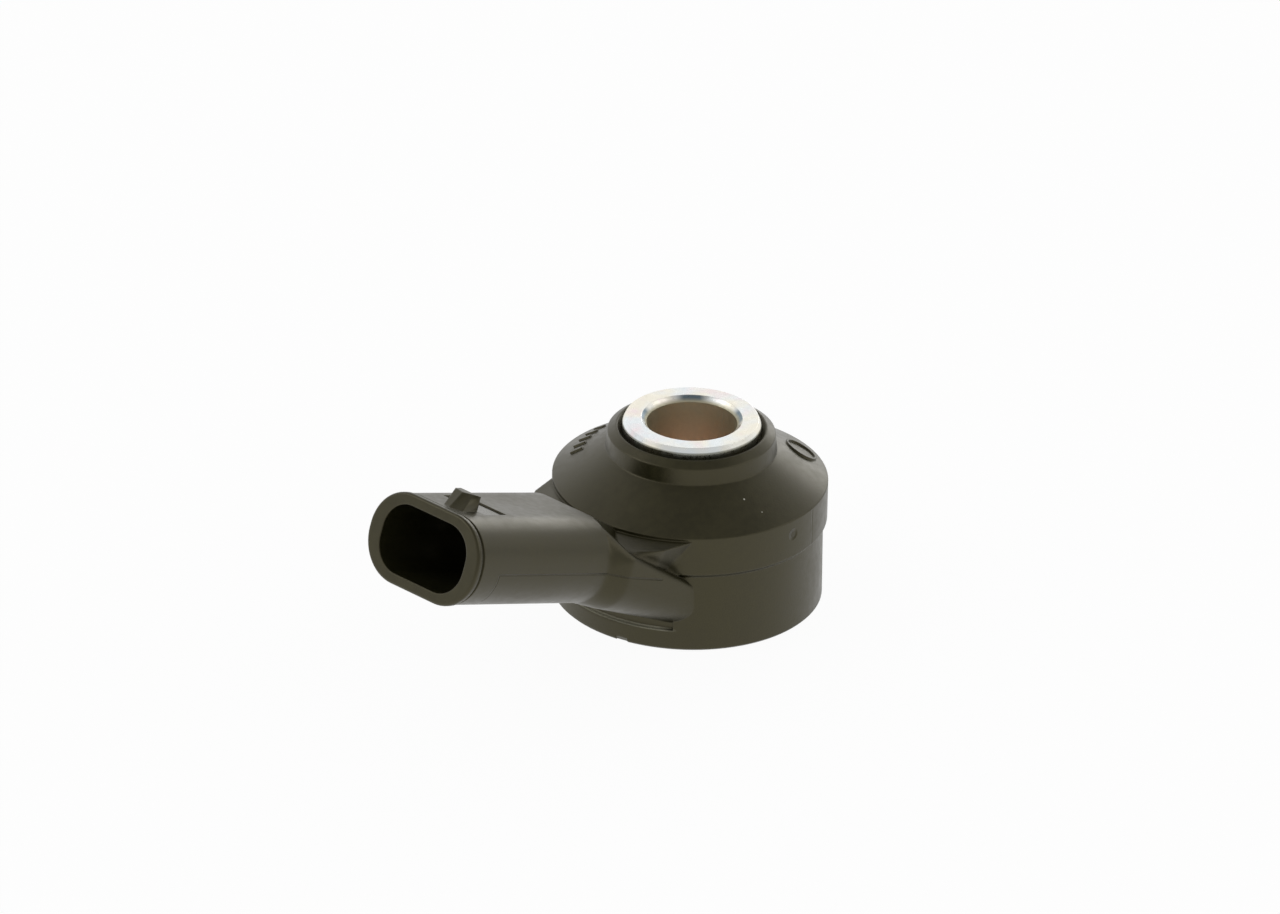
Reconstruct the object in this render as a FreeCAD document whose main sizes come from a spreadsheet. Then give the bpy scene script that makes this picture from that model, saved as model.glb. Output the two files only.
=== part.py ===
"""Engine knock sensor: a bolt-through piezo sensor with a slanted connector arm.

A turned steel sleeve takes the bolt's clamp load. Round its foot sits the sensing stack: insulating
washers, two contact discs, the piezo ring, the seismic mass, a disc spring and a threaded ring. Two
terminals carry the signal along the arm to the socket, and one black moulding covers it all.

Millimetres and degrees. +Z is the bore's axis, z = 0 is the steel foot that lies on the engine, and
the arm points along -X, tilted up.
"""
import FreeCAD, Part
import math
import os
import re
import Sketcher

SIZES = {
    # pressure sleeve, turned steel
    "bore_radius": 4.2,             # clearance hole for an M8 bolt
    "sleeve_wall": 2.23,
    "sleeve_rise": 0.9,             # the sleeve's top face above the collar
    "bore_chamfer": 0.5,
    "sleeve_edge": 0.25,
    "sleeve_edge_height": 0.55,
    "foot_width": 4.57,             # the foot's rim stands out this far from the sleeve
    "foot_thickness": 2.2,
    "foot_groove_depth": 0.5,       # the moulding keys into this groove in the foot's rim
    "foot_groove_width": 0.7,
    "seal_groove_depth": 0.3,       # and into these two under the collar
    "seal_groove_width": 0.5,
    "seal_groove_rise": 0.1,
    "seal_groove_pitch": 1.0,
    # sensing stack: each inset is how far a ring's rim lies inside the foot's rim
    "tube_wall": 0.4,
    "washer_inset": 0.6,
    "washer_thickness": 0.4,
    "contact_inset": 1.0,
    "contact_thickness": 0.3,
    "piezo_inset": 0.9,
    "piezo_thickness": 2.4,
    "mass_inset": 0.7,
    "mass_height": 4.6,
    "mass_chamfer": 0.4,
    "spring_inset": 2.0,
    "spring_thickness": 0.5,
    "spring_dish": 0.3,
    "nut_wall": 1.67,
    "nut_height": 1.5,
    # drum of the housing
    "sleeve_proud": 0.1,            # the steel foot stands this far below the moulding
    "skirt_wall": 1.45,             # plastic outside the foot's rim
    "skirt_flare": 0.15,
    "band_height": 3.7,             # from the seam up to the shoulder
    "seam_bevel": 0.4,
    "band_proud": 0.37,
    "band_draft": 0.04,
    "shoulder_rise": 1.18,          # the shoulder above the top of the mass
    "cone_angle": 31.7,
    "drum_edge": 0.2,
    # collar round the sleeve
    "collar_wall": 1.52,
    "collar_draft": 0.17,
    "collar_step": 1.56,
    "collar_top_inset": 0.73,
    "collar_bevel": 0.52,
    "lip_wall": 0.47,
    "lip_rise": 0.03,
    "lip_gap": 0.45,
    # connector arm, measured inwards from the middle of its mouth
    "arm_tilt": 19.73,
    "arm_length": 22.95,            # from the drum's wall out to the mouth
    "root_drop": 2.99,              # its axis meets the drum's wall this far below the shoulder
    "arm_half_width": 6.62,
    "arm_half_height": 4.15,
    "arm_flat": 0.2,                # half of the straight part of its sides
    "rim_depth": 0.55,
    "rim_proud": 0.1,               # the rim stands out of the barrel
    "rim_groove_width": 0.4,
    "rim_groove_depth": 0.15,
    "rim_round": 0.25,
    # root of the arm: a wider foot that flares to the drum, and a neck that drops to its shoulder
    "root_reach": 5.93,             # the root starts this far along the arm from the drum's wall
    "flare_length": 1.9,
    "flare_out": 1.08,              # how far it stands out of the barrel's side
    "flare_fall": 2.25,             # its top below the barrel's
    "flare_sink": 0.1,              # its underside below the barrel's
    "flare_corner": 3.6,
    "foot_out": 2.9,
    "foot_fall": 5.96,
    "foot_base": 0.85,              # height of its underside at its inner end
    "foot_corner": 2.1,
    "foot_edge": 0.6,
    "neck_length": 5.8,
    "neck_half_width": 2.0,
    "neck_fall": 1.75,
    "neck_corner": 0.5,
    # level shelf between the foot and the drum's shoulder: how far its corners lie outside the drum's
    # wall, and their distances from the middle plane
    "shelf_drop": 0.33,
    "shelf_depth": 2.9,
    "shelf_undercut": 1.3,          # its wall leans in by this much towards the arm's foot
    "shelf_front": 3.5,
    "shelf_front_half": 6.1,
    "shelf_corner": 2.3,
    "shelf_corner_half": 6.6,
    "shelf_waist": -0.3,
    "shelf_waist_half": 8.2,
    "shelf_end": -3.2,
    "shelf_end_half": 8.87,
    "shelf_back": -3.0,
    "shelf_back_half": 7.2,
    # wall of the drum that is sunk under the arm
    "recess_depth": 0.2,
    "recess_angle": 37,
    "recess_height": 2.1,
    # socket
    "socket_side_wall": 1.47,
    "socket_wall": 0.92,
    "socket_flat": 0.47,
    "socket_depth": 12.0,
    # latch tooth and the shallow window behind it: distances inwards from the mouth, and from the
    # middle plane towards the near and the far side
    "latch_back": 4.1,
    "latch_height": 1.35,
    "latch_near": 1.65,
    "latch_far": 0.85,
    "latch_front": 1.6,
    "latch_belly": 0.35,            # its foot bulges past its near side
    "latch_nose": 0.25,             # and past its front
    "latch_nose_near": 0.5,
    "latch_nose_far": 0.3,
    "latch_slope": 1.75,            # the ramp's run from its foot to its top
    "latch_sink": 0.15,
    "window_gap": 0.05,
    "window_length": 2.85,
    "window_width": 5.3,
    "window_depth": 0.12,
    # terminals
    "blade_pitch": 6.0,
    "blade_width": 1.3,
    "blade_thickness": 0.63,
    "blade_recess": 10.5,
    "blade_leg_gap": 0.1,
    "tab_reach": 1.3,
    "tab_rise": 1.9,
    "resistor_radius": 0.9,
    "resistor_place": 14.2,
    # raised moulding marks on the cone
    "mark_height": 0.15,
    "mark_root": 0.6,
    "mark_inset": 1.75,
    "ring_angle": -30,
    "ring_radius": 1.65,
    "ring_width": 0.22,
    "bars_angle": 95,
    "bar_count": 5,
    "bar_length": 1.3,
    "bar_width": 0.4,
    "bar_pitch": 7,
    # nick in the drum's lower edge
    "nick_angle": 14.5,
    "nick_width": 1.2,
    "nick_depth": 0.35,
    "nick_tilt": 35,
}

TINY = 1e-4         # lengths and volumes below this count as none

doc = FreeCAD.newDocument("knock_sensor")
sheet = doc.addObject("Spreadsheet::Sheet", "Sizes")
for row, (alias, value) in enumerate(SIZES.items(), start=1):
    sheet.set(f"A{row}", alias)
    sheet.set(f"B{row}", str(value))
    sheet.setAlias(f"B{row}", alias)
doc.recompute()


def bound(formula):
    """Turn a formula of size names into an expression that reads the sheet."""
    def name(found):
        return f"Sizes.{found[0]}" if found[0] in SIZES else found[0]
    return re.sub(r"[a-z_]+", name, str(formula))


def number(formula):
    """Give the present value of a formula of size names."""
    value = sheet.evalExpression(bound(formula))
    return float(getattr(value, "Value", value))


def bind(thing, path, formula):
    thing.setExpression(path, bound(formula))


# Radii, worked out from the bore
SLEEVE_RADIUS = "(bore_radius + sleeve_wall)"
FOOT_RADIUS = f"({SLEEVE_RADIUS} + foot_width)"
STACK_BORE = f"({SLEEVE_RADIUS} + tube_wall)"
WASHER_RADIUS = f"({FOOT_RADIUS} - washer_inset)"
CONTACT_RADIUS = f"({FOOT_RADIUS} - contact_inset)"
PIEZO_RADIUS = f"({FOOT_RADIUS} - piezo_inset)"
MASS_RADIUS = f"({FOOT_RADIUS} - mass_inset)"
SPRING_RADIUS = f"({FOOT_RADIUS} - spring_inset)"
NUT_RADIUS = f"({SLEEVE_RADIUS} + nut_wall)"
DRUM_RADIUS = f"({FOOT_RADIUS} + skirt_wall)"
BAND_RADIUS = f"({DRUM_RADIUS} + band_proud)"
SHOULDER_RADIUS = f"({BAND_RADIUS} - band_draft)"
COLLAR_RADIUS = f"({SLEEVE_RADIUS} + collar_wall)"
MOUTH_REACH = f"({DRUM_RADIUS} + arm_length)"
MARK_REACH = f"({DRUM_RADIUS} - mark_inset)"

# Heights, from the foot up
WASHER_BASE = "foot_thickness"
LOWER_CONTACT_BASE = f"({WASHER_BASE} + washer_thickness)"
PIEZO_BASE = f"({LOWER_CONTACT_BASE} + contact_thickness)"
UPPER_CONTACT_BASE = f"({PIEZO_BASE} + piezo_thickness)"
UPPER_WASHER_BASE = f"({UPPER_CONTACT_BASE} + contact_thickness)"
MASS_BASE = f"({UPPER_WASHER_BASE} + washer_thickness)"
SPRING_BASE = f"({MASS_BASE} + mass_height)"
NUT_BASE = f"({SPRING_BASE} + spring_thickness + spring_dish)"
TAB_TOP = f"({UPPER_CONTACT_BASE} + tab_rise)"
SHOULDER_HEIGHT = f"({SPRING_BASE} + shoulder_rise)"
SEAM_HEIGHT = f"({SHOULDER_HEIGHT} - band_height)"
COLLAR_BASE = f"({SHOULDER_HEIGHT} + ({SHOULDER_RADIUS} - {COLLAR_RADIUS}) * tan(cone_angle))"
COLLAR_TOP = f"({COLLAR_BASE} + collar_step + collar_bevel)"
SLEEVE_HEIGHT = f"({COLLAR_TOP} + sleeve_rise)"

# Height of the mouth's middle, and where the root starts, measured inwards from the mouth
MOUTH_HEIGHT = f"({SHOULDER_HEIGHT} - root_drop + arm_length * tan(arm_tilt))"
ROOT_START = "(arm_length / cos(arm_tilt) - root_reach)"
FOOT_END = f"(({MOUTH_REACH} - bore_radius) / cos(arm_tilt))"

# Sections of the arm, measured from its axis
ARM_CORNER = "(arm_half_height - arm_flat)"
FLARE_HALF_WIDTH = "(arm_half_width + flare_out)"
FLARE_TOP = "(arm_half_height - flare_fall)"
FLARE_BOTTOM = "(arm_half_height + flare_sink)"
FOOT_HALF_WIDTH = "(arm_half_width + foot_out)"
FOOT_TOP = "(arm_half_height - foot_fall)"
FOOT_BOTTOM = f"(({MOUTH_HEIGHT} - foot_base) / cos(arm_tilt) - {FOOT_END} * tan(arm_tilt))"
NECK_TOP = "(arm_half_height - neck_fall)"
SOCKET_HALF_WIDTH = "(arm_half_width - socket_side_wall)"
SOCKET_HALF_HEIGHT = "(arm_half_height - socket_wall)"
SOCKET_CORNER = f"({SOCKET_HALF_HEIGHT} - socket_flat)"

# X of the face where the discs' tabs and the terminals' legs touch
LEG_FACE = f"(-({CONTACT_RADIUS} + tab_reach))"


def arm_x(along):
    """X of a point on the arm's axis, at a distance inwards from the mouth."""
    return f"(-{MOUTH_REACH} + ({along}) * cos(arm_tilt))"


def arm_z(along):
    """Z of a point on the arm's axis, at a distance inwards from the mouth."""
    return f"({MOUTH_HEIGHT} - ({along}) * sin(arm_tilt))"


def new_body(name):
    return doc.addObject("PartDesign::Body", name)


def new_sketch(body, role, name):
    """Start a sketch on one of the body's own origin planes."""
    sketch = body.newObject("Sketcher::SketchObject", name)
    plane = next(item for item in body.Origin.OriginFeatures if item.Role == role)
    sketch.AttachmentSupport = [(plane, "")]
    sketch.MapMode = "FlatFace"
    return sketch


def level_sketch(body, height, name):
    """Start a sketch on a level plane."""
    sketch = new_sketch(body, "XY_Plane", name)
    bind(sketch, "AttachmentOffset.Base.z", height)
    return sketch


def across_arm(body, along, name):
    """Start a sketch square to the arm: its x is Y, its y is the arm's upward normal."""
    sketch = new_sketch(body, "YZ_Plane", name)
    tilt = FreeCAD.Rotation(FreeCAD.Vector(1, 0, 0), number("arm_tilt"))
    sketch.AttachmentOffset = FreeCAD.Placement(FreeCAD.Vector(), tilt)
    bind(sketch, "AttachmentOffset.Rotation.Angle", "arm_tilt")
    bind(sketch, "AttachmentOffset.Base.y", arm_z(along))
    bind(sketch, "AttachmentOffset.Base.z", arm_x(along))
    return sketch


def on_arm(body, height, name):
    """Start a sketch on a plane along the arm: its x runs inwards from the middle of the mouth, and its
    y is Y. The height is measured along the arm's upward normal."""
    sketch = new_sketch(body, "XY_Plane", name)
    tilt = FreeCAD.Rotation(FreeCAD.Vector(0, 1, 0), number("arm_tilt"))
    sketch.AttachmentOffset = FreeCAD.Placement(FreeCAD.Vector(), tilt)
    bind(sketch, "AttachmentOffset.Rotation.Angle", "arm_tilt")
    bind(sketch, "AttachmentOffset.Base.x", f"-{MOUTH_REACH} + ({height}) * sin(arm_tilt)")
    bind(sketch, "AttachmentOffset.Base.z", f"{MOUTH_HEIGHT} + ({height}) * cos(arm_tilt)")
    return sketch


def along_arm(body, name):
    """Start a sketch in the arm's upright plane: its x runs inwards from the middle of the mouth, and
    its y is the arm's upward normal."""
    sketch = new_sketch(body, "XZ_Plane", name)
    tilt = FreeCAD.Rotation(FreeCAD.Vector(0, 0, 1), -number("arm_tilt"))
    sketch.AttachmentOffset = FreeCAD.Placement(FreeCAD.Vector(), tilt)
    bind(sketch, "AttachmentOffset.Rotation.Angle", "-arm_tilt")
    bind(sketch, "AttachmentOffset.Base.x", f"-{MOUTH_REACH}")
    bind(sketch, "AttachmentOffset.Base.y", MOUTH_HEIGHT)
    return sketch


def pin_point(sketch, line, end, x, y):
    """Tie a point of a sketch to formulas for its two coordinates."""
    for kind, formula in (("DistanceX", x), ("DistanceY", y)):
        index = sketch.addConstraint(Sketcher.Constraint(kind, -1, 1, line, end, number(formula)))
        bind(sketch, f"Constraints[{index}]", formula)


def outline(sketch, points):
    """Draw a closed outline through points given as pairs of formulas."""
    corners = [FreeCAD.Vector(number(x), number(y), 0) for x, y in points]
    first = sketch.GeometryCount
    count = len(points)
    for place in range(count):
        sketch.addGeometry(Part.LineSegment(corners[place], corners[(place + 1) % count]))
    for place in range(count):
        line = first + place
        after = first + (place + 1) % count
        sketch.addConstraint(Sketcher.Constraint("Coincident", line, 2, after, 1))
        pin_point(sketch, line, 1, *points[place])


def circle(sketch, radius, x="0", y="0"):
    centre = FreeCAD.Vector(number(x), number(y), 0)
    line = sketch.addGeometry(Part.Circle(centre, FreeCAD.Vector(0, 0, 1), number(radius)))
    index = sketch.addConstraint(Sketcher.Constraint("Radius", line, number(radius)))
    bind(sketch, f"Constraints[{index}]", radius)
    if (x, y) == ("0", "0"):
        sketch.addConstraint(Sketcher.Constraint("Coincident", line, 3, -1, 1))
    else:
        pin_point(sketch, line, 3, x, y)


def rounded_section(sketch, half_width, top, bottom, top_corner, bottom_corner):
    """Draw a rectangle with round corners, even about the sketch's upright axis."""
    w, t, b = (number(formula) for formula in (half_width, top, bottom))
    r, q = number(top_corner), number(bottom_corner)
    corners = [(r - w, t - r, r), (q - w, q - b, q), (w - q, q - b, q), (w - r, t - r, r)]
    straights = [((w - r, t), (r - w, t)), ((-w, t - r), (-w, q - b)),
                 ((q - w, -b), (w - q, -b)), ((w, q - b), (w, t - r))]
    upward = FreeCAD.Vector(0, 0, 1)
    for side in range(4):
        first, last = (FreeCAD.Vector(*point, 0) for point in straights[side])
        sketch.addGeometry(Part.LineSegment(first, last))
        x, y, radius = corners[side]
        start = math.pi / 2 * (side + 1)
        round_corner = Part.Circle(FreeCAD.Vector(x, y, 0), upward, radius)
        sketch.addGeometry(Part.ArcOfCircle(round_corner, start, start + math.pi / 2))
    for side in range(4):
        line, arc, following = 2 * side, 2 * side + 1, (2 * side + 2) % 8
        sketch.addConstraint(Sketcher.Constraint("Tangent", line, 2, arc, 1))
        sketch.addConstraint(Sketcher.Constraint("Tangent", arc, 2, following, 1))
        sketch.addConstraint(Sketcher.Constraint("Vertical" if side % 2 else "Horizontal", line))
    for arc, twin, radius, formula in ((1, 7, r, top_corner), (3, 5, q, bottom_corner)):
        sketch.addConstraint(Sketcher.Constraint("Equal", arc, twin))
        index = sketch.addConstraint(Sketcher.Constraint("Radius", arc, radius))
        bind(sketch, f"Constraints[{index}]", formula)
    limits = (("DistanceY", 0, t, top), ("DistanceX", 2, -w, f"-({half_width})"),
              ("DistanceY", 4, -b, f"-({bottom})"), ("DistanceX", 6, w, half_width))
    for kind, line, value, formula in limits:
        index = sketch.addConstraint(Sketcher.Constraint(kind, -1, 1, line, 1, value))
        bind(sketch, f"Constraints[{index}]", formula)


def oval_section(sketch, half_width, half_height, corner):
    """Draw the arm's own section, the same above and below its axis."""
    rounded_section(sketch, half_width, half_height, half_height, corner, corner)


def checked(feature):
    """Recompute, and make sure that a feature has left one sound solid."""
    doc.recompute()
    if not feature.isValid() or feature.Shape.isNull() or len(feature.Shape.Solids) != 1:
        raise RuntimeError(f"{feature.Label} failed")
    return feature


def pad(body, sketch, length, name, reverse=False, even=False):
    feature = body.newObject("PartDesign::Pad", name)
    feature.Profile = sketch
    feature.SideType = "Symmetric" if even else "One side"
    feature.Reversed = reverse
    bind(feature, "Length", length)
    return checked(feature)


def pocket(body, sketch, length, name, reverse=False, even=False):
    """Cut a pocket, and make sure that it took something away."""
    before = body.Tip.Shape.Volume
    feature = body.newObject("PartDesign::Pocket", name)
    feature.Profile = sketch
    feature.SideType = "Symmetric" if even else "One side"
    feature.Reversed = reverse
    bind(feature, "Length", length)
    checked(feature)
    if feature.Shape.Volume > before - TINY:
        raise RuntimeError(f"{name} cuts nothing")
    return feature


def revolve(body, points, name, angle="360", middle=False):
    """Turn an outline of radii and heights about the bore's axis."""
    sketch = new_sketch(body, "XZ_Plane", f"{name}_profile")
    outline(sketch, points)
    feature = body.newObject("PartDesign::Revolution", name)
    feature.Profile = sketch
    feature.ReferenceAxis = (sketch, ["V_Axis"])
    feature.Midplane = middle
    bind(feature, "Angle", angle)
    return checked(feature)


def dress(body, kind, base, edges, size, name):
    """Round or chamfer the named edges."""
    if not edges:
        raise RuntimeError(f"{name} finds no edge")
    feature = body.newObject(f"PartDesign::{kind}", name)
    feature.Base = (base, edges)
    bind(feature, "Radius" if kind == "Fillet" else "Size", size)
    return checked(feature)


def washer(name, inner, outer, base, thickness):
    """Make a flat ring."""
    body = new_body(name)
    sketch = level_sketch(body, base, f"{name}_circles")
    circle(sketch, outer)
    circle(sketch, inner)
    pad(body, sketch, thickness, f"{name}_plate")
    return body


def pressure_sleeve():
    """Turn the sleeve with its foot, its key grooves and its chamfered bore."""
    groove_low = "(foot_thickness - foot_groove_width) / 2"
    groove_high = "(foot_thickness + foot_groove_width) / 2"
    points = [
        ("bore_radius", "0"),
        (FOOT_RADIUS, "0"),
        (FOOT_RADIUS, groove_low),
        (f"{FOOT_RADIUS} - foot_groove_depth", groove_low),
        (f"{FOOT_RADIUS} - foot_groove_depth", groove_high),
        (FOOT_RADIUS, groove_high),
        (FOOT_RADIUS, "foot_thickness"),
        (SLEEVE_RADIUS, "foot_thickness"),
    ]
    for groove in range(2):
        low = f"{COLLAR_BASE} + seal_groove_rise + {groove} * seal_groove_pitch"
        high = f"{low} + seal_groove_width"
        points += [
            (SLEEVE_RADIUS, low),
            (f"{SLEEVE_RADIUS} - seal_groove_depth", low),
            (f"{SLEEVE_RADIUS} - seal_groove_depth", high),
            (SLEEVE_RADIUS, high),
        ]
    points += [
        (SLEEVE_RADIUS, f"{SLEEVE_HEIGHT} - sleeve_edge_height"),
        (f"{SLEEVE_RADIUS} - sleeve_edge", SLEEVE_HEIGHT),
        ("bore_radius + bore_chamfer", SLEEVE_HEIGHT),
        ("bore_radius", f"{SLEEVE_HEIGHT} - bore_chamfer"),
    ]
    body = new_body("pressure_sleeve")
    revolve(body, points, "sleeve_turning")
    return body


def contact_disc(name, base, side):
    """Make a contact disc with its tab, which runs out over the washer and up to the terminal."""
    body = washer(name, STACK_BORE, CONTACT_RADIUS, base, "contact_thickness")
    sketch = new_sketch(body, "XZ_Plane", f"{name}_tab_outline")
    bind(sketch, "AttachmentOffset.Base.z", f"-({side}) * blade_pitch / 2")
    inner = f"{LEG_FACE} + contact_thickness"
    root = f"-{CONTACT_RADIUS} + blade_width"
    outline(sketch, [
        (root, base),
        (LEG_FACE, base),
        (LEG_FACE, TAB_TOP),
        (inner, TAB_TOP),
        (inner, f"{base} + contact_thickness"),
        (root, f"{base} + contact_thickness"),
    ])
    pad(body, sketch, "blade_width", f"{name}_tab", even=True)
    return body


def terminal_blade(name, side):
    """Bend a terminal from strip: a leg on the disc's tab, then the blade along the arm."""
    body = new_body(name)
    sketch = new_sketch(body, "XZ_Plane", f"{name}_outline")
    bind(sketch, "AttachmentOffset.Base.z", f"-({side}) * blade_pitch / 2")
    outer = f"({LEG_FACE} - blade_thickness)"
    half = "(blade_thickness / 2)"
    foot = f"{UPPER_CONTACT_BASE} + blade_leg_gap"

    def strip(x, face):
        """Height of the blade's upper or lower face at an x."""
        axis = f"{MOUTH_HEIGHT} - ({x} + {MOUTH_REACH}) * tan(arm_tilt)"
        return f"{axis} + {face} * {half} / cos(arm_tilt)"

    tip_x = arm_x("blade_recess")
    tip_z = arm_z("blade_recess")
    outline(sketch, [
        (LEG_FACE, foot),
        (LEG_FACE, strip(LEG_FACE, 1)),
        (f"{tip_x} + {half} * sin(arm_tilt)", f"{tip_z} + {half} * cos(arm_tilt)"),
        (f"{tip_x} - {half} * sin(arm_tilt)", f"{tip_z} - {half} * cos(arm_tilt)"),
        (outer, strip(outer, -1)),
        (outer, foot),
    ])
    pad(body, sketch, "blade_width", f"{name}_strip", even=True)
    return body


def bleed_resistor():
    """Make the resistor that bridges the two blades inside the arm's root."""
    body = new_body("bleed_resistor")
    sketch = new_sketch(body, "XZ_Plane", "resistor_circle")
    circle(sketch, "resistor_radius", arm_x("resistor_place"), arm_z("resistor_place"))
    pad(body, sketch, "blade_pitch - blade_width", "resistor_rod", even=True)
    return body


def seismic_mass():
    """Turn the ring that presses on the piezo, with its outer edges chamfered."""
    top = f"{MASS_BASE} + mass_height"
    body = new_body("seismic_mass")
    revolve(body, [
        (STACK_BORE, MASS_BASE),
        (f"{MASS_RADIUS} - mass_chamfer", MASS_BASE),
        (MASS_RADIUS, f"{MASS_BASE} + mass_chamfer"),
        (MASS_RADIUS, f"{top} - mass_chamfer"),
        (f"{MASS_RADIUS} - mass_chamfer", top),
        (STACK_BORE, top),
    ], "mass_turning")
    return body


def disc_spring():
    """Press the dished washer: it bears on the mass outside and under the nut inside."""
    body = new_body("disc_spring")
    revolve(body, [
        (STACK_BORE, f"{SPRING_BASE} + spring_dish"),
        (SPRING_RADIUS, SPRING_BASE),
        (SPRING_RADIUS, f"{SPRING_BASE} + spring_thickness"),
        (STACK_BORE, NUT_BASE),
    ], "spring_pressing")
    return body


def drum(body):
    """Turn the drum with its upper band, its cone and the collar round the sleeve."""
    foot = f"({DRUM_RADIUS} + skirt_flare)"
    step = f"({COLLAR_RADIUS} - collar_draft)"
    return revolve(body, [
        (SLEEVE_RADIUS, "sleeve_proud"),
        (f"{foot} - drum_edge", "sleeve_proud"),
        (foot, "sleeve_proud + drum_edge"),
        (DRUM_RADIUS, f"{SEAM_HEIGHT} - seam_bevel"),
        (BAND_RADIUS, SEAM_HEIGHT),
        (SHOULDER_RADIUS, SHOULDER_HEIGHT),
        (COLLAR_RADIUS, COLLAR_BASE),
        (step, f"{COLLAR_BASE} + collar_step"),
        (f"{step} - collar_top_inset", COLLAR_TOP),
        (f"{SLEEVE_RADIUS} + lip_wall", f"{COLLAR_TOP} + lip_rise"),
        (SLEEVE_RADIUS, f"{COLLAR_TOP} - lip_gap"),
    ], "drum_turning")


def under_arm_recess(body):
    """Sink the drum's wall under the arm, which leaves a ledge above the drum's lower edge."""
    sketch = new_sketch(body, "XZ_Plane", "recess_profile")
    wall = f"-({DRUM_RADIUS} - recess_depth)"
    outside = f"-({BAND_RADIUS} + recess_depth)"
    top = f"{SEAM_HEIGHT} - seam_bevel"
    outline(sketch, [(wall, "recess_height"), (outside, "recess_height"), (outside, top), (wall, top)])
    feature = body.newObject("PartDesign::Groove", "under_arm_recess")
    feature.Profile = sketch
    feature.ReferenceAxis = (sketch, ["V_Axis"])
    feature.Midplane = True
    bind(feature, "Angle", "2 * recess_angle")
    return checked(feature)


def loft(body, sections, name):
    feature = body.newObject("PartDesign::AdditiveLoft", name)
    feature.Profile = sections[0]
    feature.Sections = sections[1:]
    feature.Ruled = True
    return checked(feature)


def arm_section(body, along, name):
    """Draw the arm's oval section at a distance inwards from the mouth."""
    sketch = across_arm(body, along, name)
    oval_section(sketch, "arm_half_width", "arm_half_height", ARM_CORNER)
    return sketch


def arm_foot(body):
    """Flare the arm into the wide foot that carries it on the drum."""
    flare = across_arm(body, f"{ROOT_START} + flare_length", "flare_section")
    rounded_section(flare, FLARE_HALF_WIDTH, FLARE_TOP, FLARE_BOTTOM, "foot_edge", "flare_corner")
    foot = across_arm(body, FOOT_END, "foot_section")
    rounded_section(foot, FOOT_HALF_WIDTH, FOOT_TOP, FOOT_BOTTOM, "foot_edge", "foot_corner")
    return loft(body, [arm_section(body, ROOT_START, "foot_start"), flare, foot], "arm_foot")


def arm_neck(body):
    """Drop the arm's top from the end of the barrel to the drum's shoulder."""
    end = across_arm(body, f"{ROOT_START} + neck_length", "neck_section")
    rounded_section(end, "neck_half_width", NECK_TOP, FLARE_BOTTOM, "neck_corner", "neck_corner")
    return loft(body, [arm_section(body, ROOT_START, "neck_start"), end], "arm_neck")


def shelf_outline(body, height, lean, name):
    """Draw a level outline of the shelf, the same on both sides of the arm."""
    sketch = level_sketch(body, height, name)
    corners = ("front", "corner", "waist", "end", "back")
    near = [(f"-({DRUM_RADIUS} + shelf_{part})", f"-(shelf_{part}_half - {lean})") for part in corners]
    far = [(x, f"-({y})") for x, y in reversed(near)]
    outline(sketch, near + far)
    return sketch


def shelf(body):
    """Fill the corner between the arm's foot and the drum up to a level shelf under the shoulder."""
    top = f"({SHOULDER_HEIGHT} - shelf_drop)"
    upper = shelf_outline(body, top, "0", "shelf_top")
    lower = shelf_outline(body, f"{top} - shelf_depth", "shelf_undercut", "shelf_foot")
    return loft(body, [upper, lower], "shelf")


def arm(body):
    """Add the arm: its foot and neck on the drum, the oval barrel and the thin rim."""
    arm_foot(body)
    arm_neck(body)
    shelf(body)
    barrel_start = "(rim_depth + rim_groove_width)"
    barrel = arm_section(body, barrel_start, "barrel_section")
    pad(body, barrel, f"{ROOT_START} - {barrel_start}", "arm_barrel")
    core = across_arm(body, "rim_depth / 2", "groove_section")
    oval_section(core, "arm_half_width - rim_groove_depth", "arm_half_height - rim_groove_depth",
                 f"{ARM_CORNER} - rim_groove_depth")
    pad(body, core, barrel_start, "rim_groove")
    rim = across_arm(body, "0", "rim_section")
    oval_section(rim, "arm_half_width + rim_proud", "arm_half_height + rim_proud",
                 f"{ARM_CORNER} + rim_proud")
    return pad(body, rim, "rim_depth", "arm_rim")


def mouth_edges(feature):
    """Find the outer edges of the mouth's flat face."""
    mouth = FreeCAD.Vector(number(arm_x("0")), 0, number(arm_z("0")))
    outward = FreeCAD.Vector(-number("cos(arm_tilt)"), 0, number("sin(arm_tilt)"))
    names = []
    for place, edge in enumerate(feature.Shape.Edges, start=1):
        if all(abs((vertex.Point - mouth).dot(outward)) < TINY for vertex in edge.Vertexes):
            names.append(f"Edge{place}")
    return names


def latch(body):
    """Add the ramp that the mating plug's tongue snaps over, and the window behind it."""
    foot = on_arm(body, "arm_half_height - latch_sink", "latch_foot")
    outline(foot, [
        ("latch_back", "-latch_near"),
        ("latch_front", "-(latch_near + latch_belly)"),
        ("latch_front - latch_nose", "-latch_nose_near"),
        ("latch_front", "latch_nose_far"),
        ("latch_back", "latch_far"),
    ])
    crest = on_arm(body, "arm_half_height + latch_height", "latch_crest")
    ramp_top = "(latch_front + latch_slope)"
    outline(crest, [
        ("latch_back", "-latch_near"),
        (f"({ramp_top} + latch_back) / 2", "-(latch_near + latch_nose_far) / 2"),
        (f"{ramp_top} - latch_nose", "-latch_nose_far"),
        (ramp_top, "latch_far"),
        ("latch_back", "latch_far"),
    ])
    loft(body, [foot, crest], "latch_ramp")
    top = "arm_half_height"
    window = along_arm(body, "window_outline")
    front = "(latch_back + window_gap)"
    outline(window, [
        (front, f"{top} - window_depth"),
        (front, f"{top} + latch_height"),
        (f"{front} + window_length", f"{top} + latch_height"),
        (f"{front} + window_length", f"{top} - window_depth"),
    ])
    return pocket(body, window, "window_width", "latch_window", even=True)


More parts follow.
